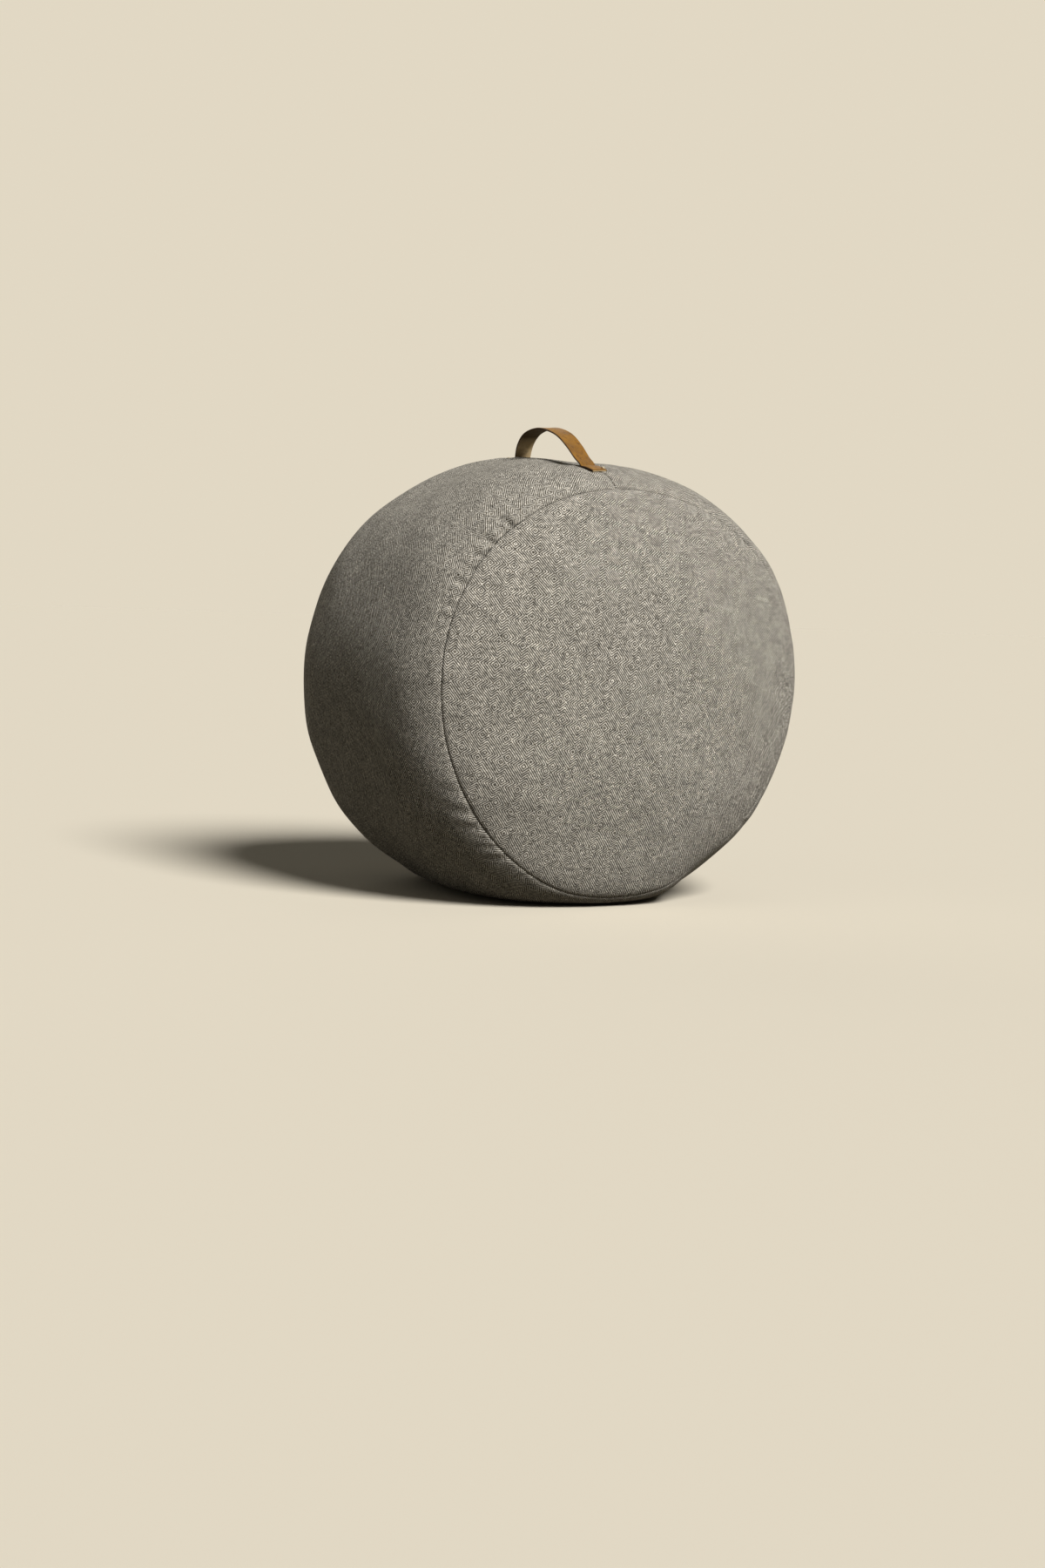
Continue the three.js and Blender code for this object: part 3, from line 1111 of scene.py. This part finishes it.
# %% Leather material
OUTER_LEATHER = ((0.20, 0.088, 0.009, 1), (0.31, 0.145, 0.018, 1))
# The raw side's pale tone, lightened beyond raw leather's own as painted light on the legs' lower
# undersides.
RAW_WITH_PAINTED_LIGHT = ((0.52, 0.38, 0.19, 1), (0.78, 0.60, 0.35, 1))
SCUFFED = (0.12, 0.05, 0.009, 1)
# Hand wear and painted shade under the top of the arch.
WORN_AND_SHADED = (0.08, 0.05, 0.018, 1)
CUT_EDGE = (0.06, 0.03, 0.012, 1)
# As shares of the thickness and of the half width.
OUTSIDE_FROM = (0.55, 0.8)
EDGE_FROM = (0.935, 0.975)
# From the strap's middle: where the wear and painted shade begin to fade, and where they end.
WEAR_AND_SHADE_REACH = (54 * MM, 74 * MM)
LEATHER_RELIEF = 0.5 * MM


def leather_colour(tree, grain, side, outside):
    across, along, _ = side
    edge = range_node(tree, math_node(tree, "ABSOLUTE", across), *EDGE_FROM, kind="SMOOTHSTEP")
    face = mix_node(tree, grain["Cloud"], *OUTER_LEATHER)
    face = mix_node(tree, grain["Scuff"], face, SCUFFED)
    from_middle = math_node(tree, "SUBTRACT", along, float(strap_length[-1]) / 2)
    # Darker towards the middle of the underside: hand wear and painted shade under the arch.
    worn_and_shaded = range_node(tree, math_node(tree, "ABSOLUTE", from_middle), *WEAR_AND_SHADE_REACH, 1.0, 0.0)
    raw = mix_node(tree, worn_and_shaded, mix_node(tree, grain["Cloud"], *RAW_WITH_PAINTED_LIGHT), WORN_AND_SHADED)
    return mix_node(tree, edge, mix_node(tree, outside, raw, face), CUT_EDGE)


def leather_material():
    material, tree, shader = new_material("natural_strap_leather")
    place = tree.nodes.new("ShaderNodeTexCoord").outputs["Object"]
    grain = use_group(tree, GRAIN_GROUP, "Place", place)
    split = tree.nodes.new("ShaderNodeSeparateXYZ")
    tree.links.new(attribute_node(tree, "hide"), split.inputs[0])
    outside = range_node(tree, split.outputs["Z"], *OUTSIDE_FROM, kind="SMOOTHSTEP")
    colour = leather_colour(tree, grain, split.outputs, outside)
    connect(tree, colour, shader.inputs["Base Color"])
    smooth = range_node(tree, grain["Cloud"], 0, 1, 0.42, 0.58)
    rough = range_node(tree, outside, 0, 1, 0.35, 0)
    connect(tree, math_node(tree, "ADD", smooth, rough), shader.inputs["Roughness"])
    shader.inputs["Specular IOR Level"].default_value = 0.2
    connect(tree, bump_node(tree, grain["Height"], 0.35, LEATHER_RELIEF), shader.inputs["Normal"])
    return material


strap.data.materials.append(leather_material())
print("leather on", strap.name)

# %% [markdown]
# ## The thread
# The thread is linen, pale and waxed, and twisted from a few strands. The twist could be modelled, but
# a stitch is only a few millimetres long, so fine noise between two tones is enough.

# %% Thread material
LINEN = ((0.62, 0.50, 0.32, 1), (0.86, 0.76, 0.56, 1))
TWIST_SCALE = 2200.0


def thread_material():
    material, tree, shader = new_material("waxed_linen_thread")
    place = tree.nodes.new("ShaderNodeTexCoord").outputs["Object"]
    colour = mix_node(tree, noise_node(tree, place, TWIST_SCALE), *LINEN)
    connect(tree, colour, shader.inputs["Base Color"])
    shader.inputs["Roughness"].default_value = 0.7
    return material


tacks.data.materials.append(thread_material())
print("thread on", tacks.name)

# %% [markdown]
# ## What each piece stands for
# On the real pouf nothing moves on its own, so every piece rides on the one body. The plain CAD
# solids could stay inside the new pieces, but then they would show wherever the cloth dips below
# them. So each piece of cloth takes the place of its solid, and is padded. The strap takes the place
# of its solid too. The stitches are an addition, and replace nothing.

# %% Bind the pieces to the frame
for piece, node in ((band, "side_band"), (front, "front_panel"), (back, "back_panel")):
    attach(piece, "root")
    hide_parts(node)
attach(strap, "root")
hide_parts("strap_handle")
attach(tacks, "root")

# %% [markdown]
# ## Light
# One large soft lamp stands high in front of the face and a little to its right, so the front panel
# and the top are bright, and the band turns away into shade. Two wide, weak ones stand for the pale
# room: one on the left keeps the shade open, and one behind keeps the back panel readable. Area lamps
# would do the same near by, but the light of a wide sun lamp is even, however far the floor runs.

# %% The lamps
ROOM_COLOUR = (1.0, 0.97, 0.88)
# Name, strength, width, azimuth and height in degrees, colour.
LAMPS = [
    ("key", 3.6, 24, 8, 42, (1.0, 0.985, 0.96)),
    ("room", 0.14, 100, -65, 8, ROOM_COLOUR),
    ("rear", 0.40, 60, 172, 12, ROOM_COLOUR),
]


def soft_lamp(name, strength, width, azimuth, height, colour):
    lamp = bpy.data.lights.new(name, "SUN")
    lamp.energy = strength
    lamp.angle = math.radians(width)
    lamp.color = colour
    item = bpy.data.objects.new(name, lamp)
    item.rotation_euler = (math.radians(90 - height), 0, math.radians(azimuth))
    bpy.context.scene.collection.objects.link(item)
    print(f"{name}: strength {strength}, {width} degrees wide, {height} degrees up")


for lamp in LAMPS:
    soft_lamp(*lamp)

# %% [markdown]
# ## The stage
# A pouf stands on a floor, and the floor's shadow shows that it does. A curved backdrop could be
# modelled behind it. Here a wide pale floor runs to the horizon, and the sky has the lit floor's
# colour, worked out from the lamps, so there is no line between them. Only the camera and reflections
# see the floor pale. To the light that bounces it is darker, so the pouf's underside keeps its shade.

# %% Floor and sky
STAGE_COLOUR = (0.895, 0.825, 0.685, 1)
BOUNCE_COLOUR = (0.10, 0.09, 0.07, 1)
FILL_STRENGTH = 0.035
FLOOR_REACH = 60
# A wide lamp gives the floor a little more than its height alone would.
LAMP_SPILL = 1.013


def seen_directly(tree):
    """1 for the camera, reflections and glass, and 0 for bounced light."""
    path = tree.nodes.new("ShaderNodeLightPath")
    seen = math_node(tree, "MAXIMUM", path.outputs["Is Camera Ray"], path.outputs["Is Glossy Ray"])
    return math_node(tree, "MAXIMUM", seen, path.outputs["Is Transmission Ray"])


def floor_stage():
    signs = ((-1, -1), (1, -1), (1, 1), (-1, 1))
    corners = [(x * FLOOR_REACH, y * FLOOR_REACH, 0) for x, y in signs]
    floor = link_mesh("floor", corners, [[0, 1, 2, 3]], (0,))
    material, tree, shader = new_material("pale_floor")
    colour = mix_node(tree, seen_directly(tree), BOUNCE_COLOUR, STAGE_COLOUR)
    connect(tree, colour, shader.inputs["Base Color"])
    shader.inputs["Roughness"].default_value = 1.0
    shader.inputs["Specular IOR Level"].default_value = 0.0
    floor.data.materials.append(material)


def pale_sky():
    fill = np.array(ROOM_COLOUR) * FILL_STRENGTH
    on_floor = fill.copy()
    for _, strength, _, _, height, colour in LAMPS:
        on_floor += np.array(colour) * strength * math.sin(math.radians(height)) / math.pi
    far_floor = on_floor * LAMP_SPILL * STAGE_COLOUR[:3]
    world = bpy.data.worlds.new("pale_sky")
    world.use_nodes = True
    bpy.context.scene.world = world
    tree = world.node_tree
    colour = mix_node(tree, seen_directly(tree), (*fill, 1), (*far_floor, 1))
    connect(tree, colour, tree.nodes["Background"].inputs["Color"])
    print("far floor and sky:", far_floor.round(3))


floor_stage()
pale_sky()

# %% [markdown]
# ## The camera
# A long-normal lens, low and to the left of the front panel, so that both the panel and the band
# show. It looks down a little, and leans by two degrees. It could be aimed at the pouf by a
# constraint, but then it couldn't lean, so its three turns are given instead.

# %% Camera
CAMERA_PLACE = (-1.2466, -2.2369, 0.3144)
CAMERA_AZIMUTH = math.radians(-28.56)
CAMERA_DOWN = math.radians(3.51)
CAMERA_LEAN = math.radians(1.91)
CAMERA_LENS = 52
CAMERA_SHIFT = -0.0222


def still_camera():
    lens = bpy.data.cameras.new("camera")
    lens.lens = CAMERA_LENS
    lens.shift_y = CAMERA_SHIFT
    camera = bpy.data.objects.new("camera", lens)
    turn = Matrix.Rotation(CAMERA_AZIMUTH, 3, "Z")
    tilt = Matrix.Rotation(math.pi / 2 - CAMERA_DOWN, 3, "X")
    lean = Matrix.Rotation(CAMERA_LEAN, 3, "Z")
    camera.rotation_euler = (turn @ tilt @ lean).to_euler()
    camera.location = CAMERA_PLACE
    bpy.context.scene.collection.objects.link(camera)
    bpy.context.scene.camera = camera


still_camera()
bpy.context.scene.view_settings.view_transform = "Standard"
print("camera at", CAMERA_PLACE)
